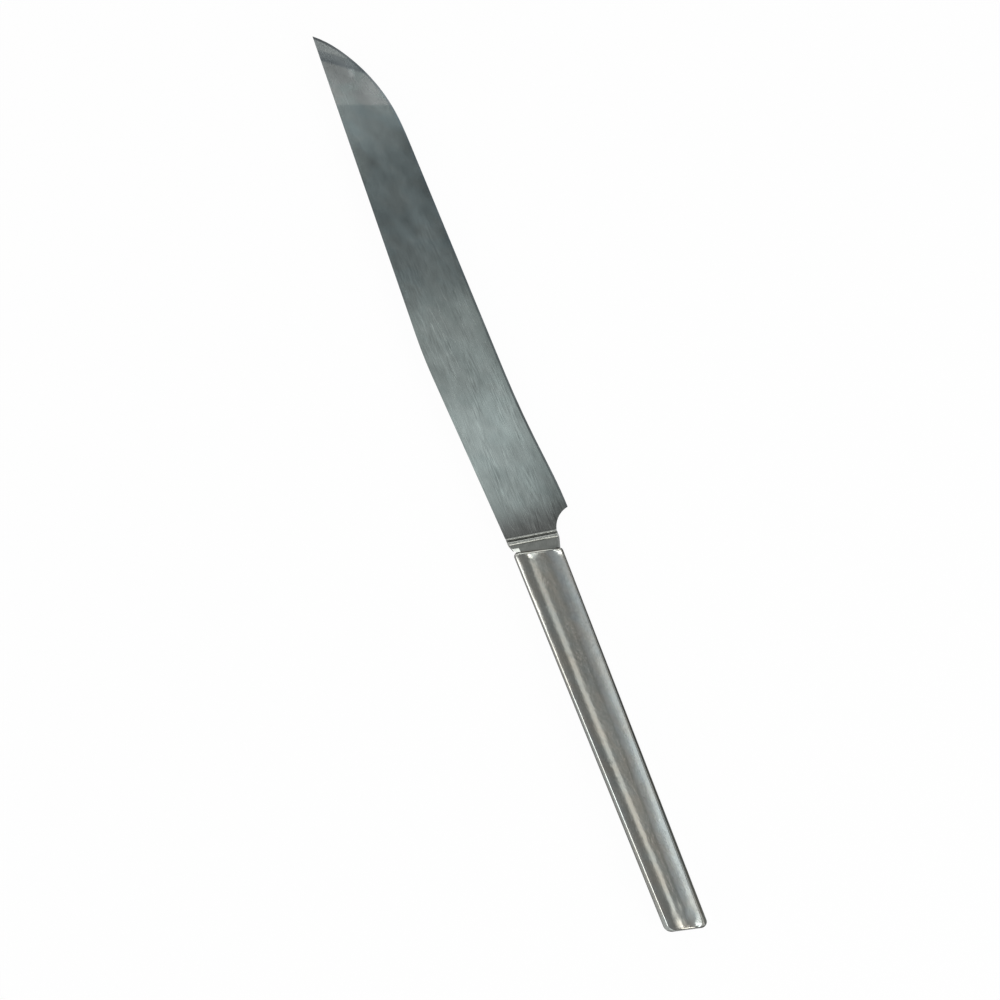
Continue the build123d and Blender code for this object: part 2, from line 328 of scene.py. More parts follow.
def softbox(name, lean, length, width, radiance, color, distance, along):
    """Flat lamp facing the knife's middle line."""
    data = bpy.data.lights.new(name, "AREA")
    data.shape = "RECTANGLE"
    data.size = length
    data.size_y = width
    data.color = color
    # A flat lamp's power for a radiance is pi times its area times that radiance
    data.energy = radiance * pi * length * width
    lamp = bpy.data.objects.new(name, data)
    lamp.location = (KNIFE.x + along, distance * sin(lean), distance * cos(lean))
    lamp.rotation_euler = (-lean, 0, 0)
    lamp.visible_camera = False
    bpy.context.scene.collection.objects.link(lamp)


# Handle shells

MOUTH_SKEW = radians(15)
BUTT_SKEW = radians(14)
MOUTH_WIDTH = 0.0169
BUTT_WIDTH = 0.0149
MOUTH_LEAN = radians(6)  # lean of the long walls at the mouth
SIDE_LEAN = radians(18)  # the same, at the butt
BUTT_LEAN = radians(5)
CROWN_RADIUS = 0.0125
LAND_WIDTH = 0.003
BUTT_LAND_WIDTH = 0.0014
LAND_FROM = -0.065  # where the land begins to narrow, and where it has its width at the butt
LAND_TO = -0.125
FOLD_RADIUS = 0.0011
WALL = 0.001
SEAM_GAP = 0.00016
WAIST_HALF = 0.007
SPIGOT_OPENING = (0.01224, 0.00464)
OPENING_LENGTH = 0.006
# At the mouth on the edge side and the spine side, then at the butt on the spine and the edge side
CORNER_RADII = (0.0015, 0.0015, 0.0032, 0.0022)
# Lean of the mouth, the spine side, the butt and the edge side, where each starts and ends
SIDE_LEANS = ((0.0, 0.0), (MOUTH_LEAN, SIDE_LEAN), (BUTT_LEAN, BUTT_LEAN), (SIDE_LEAN, MOUTH_LEAN))
SIDE_STEPS = (34, 180, 34, 180)
CORNER_STEPS = 8
WALL_STEPS = 5
FOLD_STEPS = 8
CROWN_ROUNDS = 8  # rounds of the search for a wall's height under the crown
SHARP_ANGLE = radians(35)

# Wear of the handle: waves of the surface, ripples on them and small dents
FRONT_SEED = 3
BACK_SEED = 5
RIPPLE_SEED = 9  # added to a shell's seed for its ripples
BUTT_SEED = 21  # the same, for the ripples at the butt
WAVE_LENGTH = 0.022
WAVE_WIDTH = 0.009
WAVE_DEPTH = 0.00004
RIPPLE_LENGTH = 0.006
RIPPLE_WIDTH = 0.0035
RIPPLE_DEPTH = 0.000008
DENTS = 30
DENT_SIZES = (0.0005, 0.0014)
DENT_DEPTHS = (0.00001, 0.00004)
DENT_REACH = 3  # a dent ends at this many times its size
# The crown falls off a little over a short way before its two ends
MOUTH_FALL = 0.00018
BUTT_FALL = 0.00009
MOUTH_END = 0.0022
BUTT_END = 0.0014
MOUTH_FOLD = 0.0011  # from the mouth and from the butt to where the crown begins
BUTT_FOLD = 0.0015
# At the mouth it does so only on both sides of its middle, from a place across and over a length
WORN_SPINE_FROM = -0.0005
WORN_SPINE_LENGTH = 0.0025
WORN_EDGE_FROM = 0.0055
WORN_EDGE_LENGTH = 0.0012
BUTT_LENGTH = 0.010  # the handle is more uneven over this length at its butt
BUTT_RIPPLE_LENGTH = 0.0034
BUTT_RIPPLE_DEPTH = 0.00012


def clamped(value):
    """Value held between 0 and 1."""
    return min(max(value, 0), 1)


def crown(x, y):
    """Height of the crown over the seam, and its slope across, at a place of the handle."""
    share = clamped((x - LAND_FROM) / (LAND_TO - LAND_FROM))
    land = LAND_WIDTH + (BUTT_LAND_WIDTH - LAND_WIDTH) * share * share * (3 - 2 * share)
    off = max(abs(y) - land / 2, 0)
    drop = CROWN_RADIUS - sqrt(CROWN_RADIUS**2 - off**2)
    return CROWN_HEIGHT - drop, -copysign(off / (CROWN_RADIUS - drop), y)


def on_crown(place):
    """Outside, inside and normal of the crown over a place."""
    height, slope = crown(place.x, place.y)
    outward = Vector((0, -slope, 1)).normalized()
    outside = Vector((place.x, place.y, height))
    return outside, outside - outward * WALL, outward


def meeting(n1, n2, d1, d2):
    """Point whose distances along two unit vectors are given."""
    cross = n1.x * n2.y - n1.y * n2.x
    return Vector(((d1 * n2.y - d2 * n1.y) / cross, (d2 * n1.x - d1 * n2.x) / cross))


def base_loop():
    """Outline at the seam: the place, outward normal and walls' lean of each point."""
    corners = []
    for end, skew, width in ((0, MOUTH_SKEW, MOUTH_WIDTH), (-HANDLE_LENGTH, BUTT_SKEW, BUTT_WIDTH)):
        for side in (-width / 2, width / 2):
            corners.append(Vector((end + side * tan(skew), side)))
    corners[2], corners[3] = corners[3], corners[2]
    normals = []
    for k in range(4):
        way = (corners[(k + 1) % 4] - corners[k]).normalized()
        normals.append(Vector((way.y, -way.x)))
    arcs = []
    leans = []
    for k in range(4):
        n1, n2 = normals[k - 1], normals[k]
        radius = CORNER_RADII[k]
        centre = corners[k] + meeting(n1, n2, -radius, -radius)
        turn = n1.angle(n2)
        arc = []
        for step in range(CORNER_STEPS + 1):
            normal = n1.copy()
            normal.rotate(Matrix.Rotation(turn * step / CORNER_STEPS, 2))
            arc.append((centre + normal * radius, normal))
        arcs.append(arc)
        leans.append(meeting(n1, n2, -tan(SIDE_LEANS[k - 1][1]), -tan(SIDE_LEANS[k][0])))
    loop = []
    for k in range(4):
        loop += [(place, normal, leans[k]) for place, normal in arcs[k]]
        start, end = arcs[k][-1][0], arcs[(k + 1) % 4][0][0]
        for step in range(1, SIDE_STEPS[k]):
            share = step / SIDE_STEPS[k]
            lean = leans[k].lerp(leans[(k + 1) % 4], share)
            loop.append((start.lerp(end, share), normals[k], lean))
    return loop


def rise(place, normal, lean):
    """Outside, inside and normal of the points up the wall and round the fold at a place."""
    height = CROWN_HEIGHT
    for _ in range(CROWN_ROUNDS):
        height, slope = crown(place.x + height * lean.x, place.y + height * lean.y)
    inward = -lean.dot(normal)
    sideways = lean + normal * inward
    edge = place + lean * height
    down = Vector((-inward, -1)).normalized()
    level = Vector((1, -slope * normal.y)).normalized()
    half = down.angle(level) / 2
    reach = FOLD_RADIUS / tan(half)
    centre = (down + level).normalized() * FOLD_RADIUS / sin(half)
    points = []
    top = height + reach * down.y
    wall_normal = normal.to_3d() + Vector((0, 0, inward))
    for step in range(WALL_STEPS):
        z = SEAM_GAP / 2 + (top - SEAM_GAP / 2) * step / WALL_STEPS
        outside = (place + lean * z).to_3d() + Vector((0, 0, z))
        inside = outside - normal.to_3d() * WALL * wall_normal.length
        points.append((outside, inside, wall_normal.normalized() * step / WALL_STEPS))
    first = down * reach - centre
    turn = first.angle(level * reach - centre)
    for step in range(FOLD_STEPS + 1):
        spoke = first.copy()
        spoke.rotate(Matrix.Rotation(-turn * step / FOLD_STEPS, 2))
        q, z = centre + spoke
        outward = (-normal * spoke.x).to_3d() + Vector((0, 0, spoke.y))
        outward.normalize()
        outside = (edge - normal * q + sideways * min(z, 0)).to_3d() + Vector((0, 0, height + z))
        points.append((outside, outside - outward * WALL, outward))
    points[-1] = on_crown(outside)
    return points


def lengths_along(points):
    """Share of a line's length at each of its points."""
    sums = [0.0]
    for a, b in zip(points, points[1:]):
        sums.append(sums[-1] + (b - a).length)
    return [s / sums[-1] for s in sums]


def fill_between(mouth, butt, edge, spine):
    """Places of a grid between four lines, by rows from the mouth to the butt."""
    mouth_shares, butt_shares = lengths_along(mouth), lengths_along(butt)
    edge_shares, spine_shares = lengths_along(edge), lengths_along(spine)
    rows = []
    for j in range(len(edge)):
        row = []
        for i in range(len(mouth)):
            down = (edge_shares[j] + spine_shares[j]) / 2
            over = (1 - down) * mouth_shares[i] + down * butt_shares[i]
            down = (1 - over) * edge_shares[j] + over * spine_shares[j]
            ruled = mouth[i].lerp(butt[i], down) + edge[j].lerp(spine[j], over)
            mouth_chord, butt_chord = mouth[0].lerp(mouth[-1], over), butt[0].lerp(butt[-1], over)
            row.append(ruled - mouth_chord.lerp(butt_chord, down))
        rows.append(row)
    return rows


def wear(place, seed):
    """Depth of the dents and of the uneven hand finish at a place of the handle."""
    x, y = place.x, place.y
    long_wave = noise.noise(Vector((x / WAVE_LENGTH, y / WAVE_WIDTH, seed)))
    short_wave = noise.noise(Vector((x / RIPPLE_LENGTH, y / RIPPLE_WIDTH, seed + RIPPLE_SEED)))
    depth = WAVE_DEPTH * (1 + long_wave) + RIPPLE_DEPTH * (1 + short_wave)
    from_mouth = y * sin(MOUTH_SKEW) - x * cos(MOUTH_SKEW) - MOUTH_FOLD
    from_butt = (x + HANDLE_LENGTH) * cos(BUTT_SKEW) - y * sin(BUTT_SKEW) - BUTT_FOLD
    butt_place = Vector((x / BUTT_RIPPLE_LENGTH, y / BUTT_RIPPLE_LENGTH, seed + BUTT_SEED))
    near_butt = exp(-(max(from_butt, 0) / BUTT_LENGTH) ** 2)
    depth += BUTT_RIPPLE_DEPTH * (1 + noise.noise(butt_place)) * near_butt
    worn = clamped((y - WORN_SPINE_FROM) / WORN_SPINE_LENGTH)
    worn += clamped((-y - WORN_EDGE_FROM) / WORN_EDGE_LENGTH)
    depth += MOUTH_FALL * worn * (1 - clamped(from_mouth / MOUTH_END)) ** 2
    depth += BUTT_FALL * (1 - clamped(from_butt / BUTT_END)) ** 2
    random = Random(seed)
    for _ in range(DENTS):
        dent_x = random.uniform(-HANDLE_LENGTH, 0)
        dent_y = random.uniform(-MOUTH_WIDTH, MOUTH_WIDTH) / 2
        size = random.uniform(*DENT_SIZES)
        deep = random.uniform(*DENT_DEPTHS)
        away = ((x - dent_x) ** 2 + (y - dent_y) ** 2) / size**2
        if away < DENT_REACH**2:
            depth += deep * exp(-away)
    return depth


def smooth_but_sharp(bm, sharp_angle):
    """Smooth shading, broken at the edges that turn by more than an angle."""
    for face in bm.faces:
        face.smooth = True
    for edge in bm.edges:
        edge.smooth = len(edge.link_faces) == 2 and edge.calc_face_angle() < sharp_angle


def finished_piece(bm, name, node, material):
    """Object made of a mesh that stands for a node of the frame."""
    mesh = bpy.data.meshes.new(name)
    bm.to_mesh(mesh)
    bm.free()
    mesh.materials.append(material)
    piece = bpy.data.objects.new(name, mesh)
    bpy.context.scene.collection.objects.link(piece)
    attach(piece, "root")
    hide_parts(node)
    return piece


def cut_block(bm, matrix):
    """Cuts away what lies in a cube of size 1 that a matrix has placed and scaled."""
    block = bmesh.new()
    bmesh.ops.create_cube(block, size=1, matrix=matrix)
    objects = []
    for part, part_name in ((bm, "uncut"), (block, "block")):
        mesh = bpy.data.meshes.new(part_name)
        part.to_mesh(mesh)
        objects.append(bpy.data.objects.new(part_name, mesh))
        bpy.context.scene.collection.objects.link(objects[-1])
    block.free()
    cut = objects[0].modifiers.new("cut", "BOOLEAN")
    cut.operation = "DIFFERENCE"
    cut.solver = "EXACT"
    cut.object = objects[1]
    bpy.context.view_layer.update()
    result = objects[0].evaluated_get(bpy.context.evaluated_depsgraph_get())
    bm.clear()
    bm.from_mesh(result.to_mesh())
    result.to_mesh_clear()
    for part in objects:
        mesh = part.data
        bpy.data.objects.remove(part)
        bpy.data.meshes.remove(mesh)


def handle_shell(name, node, side, seed, material):
    """Worn and slightly dented half of the handle, the upper one for side 1, the lower for -1."""
    columns = [rise(*point) for point in base_loop()]
    count = len(columns)
    rings = [[column[k] for column in columns] for k in range(len(columns[0]))]
    starts = [k * CORNER_STEPS + sum(SIDE_STEPS[:k]) + CORNER_STEPS // 2 for k in range(4)]
    last = [point[0] for point in rings[-1]]
    sides = []
    for k in range(4):
        end = starts[(k + 1) % 4] + (count if k == 3 else 0)
        sides.append([i % count for i in range(starts[k], end + 1)])
    lines = [sides[0], sides[2][::-1], sides[3][::-1], sides[1]]
    rows = fill_between(*[[last[i] for i in line] for line in lines])

    bm = bmesh.new()

    def add_layer(which):
        """Adds the outer (0) or inner (1) surface, and returns its vertices at the seam."""

        def vertex(point):
            place = point[which]
            if which == 0:
                place = place - point[2] * wear(place, seed)
            return bm.verts.new(KNIFE + Vector((place.x, place.y, side * place.z)))

        layer = [[vertex(point) for point in ring] for ring in rings]
        border = layer[-1]
        grid = [[None] * len(row) for row in rows]
        for j in range(1, len(rows) - 1):
            for i in range(1, len(rows[j]) - 1):
                grid[j][i] = vertex(on_crown(rows[j][i]))
        for i, index in enumerate(lines[0]):
            grid[0][i] = border[index]
        for i, index in enumerate(lines[1]):
            grid[-1][i] = border[index]
        for j, index in enumerate(lines[2]):
            grid[j][0] = border[index]
        for j, index in enumerate(lines[3]):
            grid[j][-1] = border[index]
        for lower, upper in zip(layer, layer[1:]):
            for i in range(count):
                bm.faces.new((lower[i], lower[(i + 1) % count], upper[(i + 1) % count], upper[i]))
        for near, far in zip(grid, grid[1:]):
            for i in range(len(near) - 1):
                bm.faces.new((near[i], near[i + 1], far[i + 1], far[i]))
        return layer[0]

    outer, inner = add_layer(0), add_layer(1)
    for i in range(count):
        bm.faces.new((outer[i], outer[(i + 1) % count], inner[(i + 1) % count], inner[i]))
    bmesh.ops.recalc_face_normals(bm, faces=bm.faces)
    width, height = SPIGOT_OPENING
    opening = Matrix.Diagonal((OPENING_LENGTH, width, height, 1))
    cut_block(bm, Matrix.Translation(KNIFE - Vector((WALL, 0, 0))) @ opening)
    smooth_but_sharp(bm, SHARP_ANGLE)
    return finished_piece(bm, name, node, material)


# Collar

FOOT_SKEW = radians(10.8)
FOOT_LINE = (cos(FOOT_SKEW), -sin(FOOT_SKEW))
NECK_LENGTH = 0.0031
NECK_TOP = 0.00275
NECK_EASE = 0.0015  # radius of the neck's long edges on the edge side
NECK_SEGMENTS = 6
NECK_END = 0.0077  # the neck's end on the spine side
NECK_FACET = 0.0016  # width of the sloping facets at that end
NECK_FACET_LEAN = radians(33)
BLOCK = 0.006  # cubes that cut the upright end and the facets
BLOCK_ASIDE = 0.3  # share of a cube by which its middle lies past the facet's edge
BLOCK_GAP = 0.0001  # between the cubes and the band
FACET_ANGLE = radians(20)
FLAT_ANGLE = radians(0.5)
SAME_PLACE = 1e-7
FACING = 0.7  # part of a face's normal along the axis that the face looks along


def is_neck_edge(edge):
    """True for the edges between the neck's broad sides and its narrow ones."""
    if len(edge.link_faces) != 2:
        return False
    places = [vert.co - KNIFE for vert in edge.verts]
    if max(place.xy.dot(Vector(FOOT_LINE)) for place in places) > NECK_LENGTH:
        return False
    if max(place.y for place in places) > -WAIST_HALF:
        return False
    flat, upright = sorted(edge.link_faces, key=lambda face: -abs(face.normal.z))
    return abs(flat.normal.z) > FACING and abs(upright.normal.y) > FACING


def neck_blocks():
    """Places of the cubes that cut the neck's upright end and two facets on the spine side."""
    skew = Matrix.Rotation(-FOOT_SKEW, 4, "Z")
    start = KNIFE + skew @ Vector((NECK_LENGTH - BLOCK_GAP - BLOCK / 2, 0, 0))
    size = Matrix.Scale(BLOCK, 4)
    end = start + Vector((0, NECK_END + BLOCK / 2, 0))
    blocks = [Matrix.Translation(end) @ skew @ size]
    for side in (1, -1):
        hinge = start + Vector((0, NECK_END - NECK_FACET, side * NECK_TOP))
        tilt = Matrix.Rotation(-side * NECK_FACET_LEAN, 4, "X")
        aside = Matrix.Translation((0, BLOCK_ASIDE * BLOCK, side * BLOCK / 2))
        blocks.append(Matrix.Translation(hinge) @ skew @ tilt @ aside @ size)
    return blocks


def eased_collar(material):
    """The collar, its neck rounded on the edge side and faceted on the spine side."""
    bm = bmesh.new()
    bm.from_mesh(nodes["bolster_collar"].data)
    bmesh.ops.remove_doubles(bm, verts=bm.verts, dist=SAME_PLACE)
    bmesh.ops.dissolve_limit(bm, angle_limit=FLAT_ANGLE, verts=bm.verts, edges=bm.edges)
    bmesh.ops.bevel(
        bm,
        geom=[edge for edge in bm.edges if is_neck_edge(edge)],
        offset=NECK_EASE,
        segments=NECK_SEGMENTS,
        profile=0.5,
        affect="EDGES",
        clamp_overlap=True,
    )
    bmesh.ops.recalc_face_normals(bm, faces=bm.faces)
    for matrix in neck_blocks():
        cut_block(bm, matrix)
    smooth_but_sharp(bm, FACET_ANGLE)
    return finished_piece(bm, "eased_collar", "bolster_collar", material)


# Materials

# Grains: length, width and height of their patches, turn, shift and detail
BLADE_FINE = ((0.005, 0.0003, 0.0003), radians(1.5), 0.0, 2.0)
BLADE_CROSSING = ((0.0035, 0.00035, 0.00035), radians(-4), 3.1, 2.0)
BLADE_BROAD = ((0.018, 0.0008, 0.0008), radians(-0.5), 0.2, 2.0)
BLADE_CLOUDS = ((0.016, 0.007, 0.007), radians(20), 0.4, 3.0)
BLADE_MOTTLES = ((0.006, 0.004, 0.004), radians(-30), 1.1, 3.0)
BLADE_WORKED = ((0.02, 0.005, 0.005), radians(-10), 0.8, 3.0)
BLADE_HUES = ((0.011, 0.006, 0.006), radians(50), 2.3, 2.0)
HANDLE_FINE = ((0.0009, 0.00045, 0.00045), radians(3), 0.0, 3.0)
HANDLE_PATCHES = ((0.010, 0.0035, 0.0035), radians(-8), 0.3, 3.0)
HANDLE_STAINS = ((0.006, 0.0025, 0.0025), radians(30), 0.5, 4.0)
HANDLE_PEEL = ((0.0015, 0.0010, 0.0010), radians(8), 1.3, 3.0)
HANDLE_SPECKS = ((0.0011, 0.0008, 0.0008), 0.0, 0.9, 1.0)
HANDLE_HUES = ((0.011, 0.005, 0.005), radians(25), 1.9, 3.0)
COLLAR_FINE = ((0.0015, 0.0003, 0.0003), 0.0, 0.1, 3.0)
COLLAR_PATCHES = ((0.002, 0.003, 0.002), 0.0, 0.4, 3.0)
BRAZE_PATCHES = ((0.0015, 0.0008, 0.0008), 0.0, 0.2, 4.0)
CEMENT_GRAINS = ((0.0006, 0.0006, 0.0006), 0.0, 0.1, 4.0)
CEMENT_PATCHES = ((0.004, 0.004, 0.004), 0.0, 0.5, 3.0)
# Hairlines: length, width and height of the patches that they part, turn, shift and thinness
BLADE_HAIRLINES = ((0.05, 0.0022, 0.002), radians(4), 0.6, 0.006)
HANDLE_HAIRLINES = ((0.012, 0.002, 0.002), radians(-9), 0.7, 0.004)

# Blade. Directions in plan, from places seen in the photograph, along which its look changes
TIP_LINE = (0.930, -0.368)
TIP_STREAK = (0.788, -0.615)
# Distances along the blade, or along one of these lines, over which a mask sets in
STREAKS_FADE = (0.07, 0.14)
UPPER_PART = (0.085, 0.115)
NEAR_TIP = (0.140, 0.2)
TIP_PART = (0.1552, 0.1562)
STREAK_PART = (0.142, 0.152)
FOOT_PART = (0.0055, 0.018)
BEVEL_PART = (0.012, 0.03)
# The same over values of a grain, a normal or another mask
WORKED_PART = (0.38, 0.62)
BLADE_HUES_PART = (0.42, 0.58)
WEDGE_PART = (0.38, 0.46)
BEVEL_NORMALS = (0.12, 0.18)
# Shades over the places of two of these parts: painted shade across the tip with a lighter wedge beyond
# it, and a painted highlight near the tip
TIP_SHADES = (
    (0, 0.5),
    (0.05, 0.5),
    (0.13, 0.37),
    (0.22, 0.405),
    (0.39, 0.43),
    (0.46, 0.55),
    (1.0, 0.54),
)
DARKEST_TIP = 0.37
NEAR_TIP_SHADES = ((0, 0), (0.12, 0), (0.35, 1), (0.5, 1), (0.67, 0.48), (1, 0.44))
# Places and widths of single marks
BLADE_SCRATCHES = (
    ((0.1032, -0.0109), (0.1235, -0.0058)),
    ((0.060, 0.0010), (0.100, 0.0045)),
    ((0.030, -0.0060), (0.062, -0.0048)),
    ((0.125, 0.0060), (0.150, 0.0030)),
)
SCRATCH_WIDTH = 0.00022
BLADE_PATCHES = (((0.110, -0.0050), (0.136, -0.0036)), ((0.082, 0.0072), (0.098, 0.0056)))
PATCH_WIDTH = 0.004
TIP_SPOT = ((0.1772, -0.0006), (0.1810, -0.0014))
SPOT_WIDTH = 0.0018
# Painted shade in a darker strip along the cutting edge, by the distance from the edge
EDGE_STRIP = (0.001, 0.0045)
EDGE_RUN = (0.03, 0.148)  # from here to there along the blade the edge rises
EDGE_DEPTHS = (0.0135, 0.011)  # from this to that depth below the middle line
# Shares of a mask that are left at a place, or that a colour takes
UPPER_STREAKS = 0.15
WORKED_STREAKS = (0.35, 1.3)
UPPER_SCRATCHES = 0.3
HEEL_BEVEL = 0.1
TIP_STREAKS = 0.25
TINGE_SHARE = 0.28
FOOT_SHARE = 0.8
TIP_SHARE = 0.65
# Middle value and weight of each mask
BLADE_STREAKS = {"fine": (0.5, 0.9), "crossing": (0.5, 0.4), "broad": (0.5, 0.25)}
BLADE_TONE = {
    "height": (0.0, 1.0),
    "clouds": (0.5, 0.5),
    "mottles": (0.5, 0.35),
    "scratches": (0.0, 0.10),
    # Painted highlight near the tip
    "near_tip_highlight": (0.0, 0.55),
    # Painted shade on the part towards the tip
    "upper": (0.0, -0.12),
    "tip": (0.0, 0.04),
    "patch": (0.0, 0.2),
    "spot": (0.0, 0.5),
    # Painted shade across the tip, with a lighter wedge beyond it
    "tip_shade": (0.5, 3.2),
    # Painted shade along the cutting edge
    "edge_shade_strip": (0.0, -0.16),
    # Painted shade on the faces that lean sideways
    "bevel": (0.0, -0.14),
    # Painted shade near the collar
    "foot": (0.0, -0.34),
}
BLADE_ROUGHNESS = 0.21
BLADE_ROUGH = {
    "clouds": (0.5, 0.10),
    "streaks": (0.0, 0.06),
    "scratches": (0.0, 0.08),
    "tip": (0.0, 0.05),
}
BLADE_BUMP = 0.000007
BLADE_BRUSHED = 0.4
BLADE_COLOR = (0.278, 0.317, 0.306)
UPPER_COLOR = (0.258, 0.315, 0.324)
BLADE_TINGE = (0.290, 0.312, 0.300)
# Colour of the painted shade near the collar
FOOT_COLOR = (0.31, 0.314, 0.302)
TIP_COLOR = (0.275, 0.31, 0.305)
TIP_TINGE = (0.292, 0.305, 0.306)
# Colour of the painted shade across the tip
TIP_SHADE_COLOR = (0.255, 0.295, 0.315)

# Handle
STAINS_PART = (0.58, 0.70)
SPECKS_PART = (0.24, 0.19)
HANDLE_HUES_PART = (0.36, 0.64)
HANDLE_TONE = {
    "fine": (0.5, 0.36),
    "patches": (0.5, 0.22),
    "stains": (0.0, -0.10),
    "specks": (0.0, -0.55),
}
HANDLE_ROUGHNESS = 0.188
HANDLE_ROUGH = {
    "patches": (0.5, 0.10),
    "fine": (0.5, 0.08),
    "stains": (0.0, 0.06),
    "scratches": (0.0, 0.06),
}
HANDLE_HEIGHT = {
    "fine": (0.5, 0.8),
    "peel": (0.5, 3.0),
    "scratches": (0.0, -0.12),
    "specks": (0.0, -1.5),
}
HANDLE_BUMP = 0.000008
HANDLE_COOL = (0.422, 0.448, 0.430)
HANDLE_WARM = (0.448, 0.442, 0.400)
HANDLE_GRAZING = 0.7
# Painted shade on the handle's walls: darker metal there, which also reflects less at low angles
SHADED_WALL_GRAZING = 0.2
SHADED_WALL_TONE = 0.65
# Widths in plan of the walls with painted shade, and the shares of them over which the painted shade
# ends
EDGE_WALL = (0.0011, 0.0006)  # at the butt and at the mouth
EDGE_WALL_PART = (0.7, 1.15)
SPINE_WALL = 0.0004
SPINE_WALL_PART = (0.4, 1.0)
SPINE_WALL_UNSHADED = 0.4
BUTT_WALL_PART = (0.0005, 0.0011)
# Painted highlight: paler metal on the fold on the spine's side, over the sideways part of its normals
RIDGE_HIGHLIGHT_NORMALS = ((0.41, 0), (0.49, 1), (0.70, 1), (0.80, 0))
RIDGE_HIGHLIGHT_TONE = 1.75

# Collar. The facets at the neck's end get a painted highlight, paler metal
FACET_HIGHLIGHT_NORMALS = ((0.42, 0), (0.48, 1), (0.60, 1), (0.66, 0))
COLLAR_TONE = {"fine": (0.5, 0.4), "patches": (0.5, 0.4), "painted_shade": (0.0, -0.7), "facet": (0.0, 1.3)}
COLLAR_ROUGHNESS = 0.25
COLLAR_ROUGH = {"patches": (0.5, 0.15), "fine": (0.5, 0.1), "painted_shade": (0.0, 0.3)}
COLLAR_BUMP = 0.000008
COLLAR_COLOR = (0.385, 0.40, 0.375)
# Painted shade on the neck, in the collar's groove and at the joint with the blade, by the distance
# along the foot line's direction
GROOVES_FROM = 0.0025
GROOVES_TO = 0.0065
COLLAR_PAINTED_SHADE = (
    (0.0025, 0.62),
    (0.0029, 0.62),
    (0.0031, 0.75),
    (0.0034, 0.1),
    (0.0044, 0.0),
    (0.0046, 1.0),
    (0.0052, 1.0),
    (0.00535, 0.0),
    (0.0057, 0.0),
    (0.0059, 1.0),
)

# Braze and cement
BRAZE_TONE = {"patches": (0.5, 0.8)}
BRAZE_ROUGHNESS = 0.45
BRAZE_ROUGH = {"patches": (0.5, 0.3)}
BRAZE_BUMP = 0.00002
BRAZE_COLOR = (0.36, 0.34, 0.30)
CEMENT_TONE = {"grains": (0.5, 0.8), "patches": (0.5, 0.5)}
CEMENT_ROUGHNESS = 0.85
CEMENT_ROUGH = {"grains": (0.5, 0.2)}
CEMENT_BUMP = 0.0001
CEMENT_COLOR = (0.16, 0.12, 0.09)


def face_normal(g):
    """Parts of the true normal of the faces."""
    normal = g.add("ShaderNodeNewGeometry").outputs["True Normal"]
    return g.add("ShaderNodeSeparateXYZ", {0: normal}).outputs


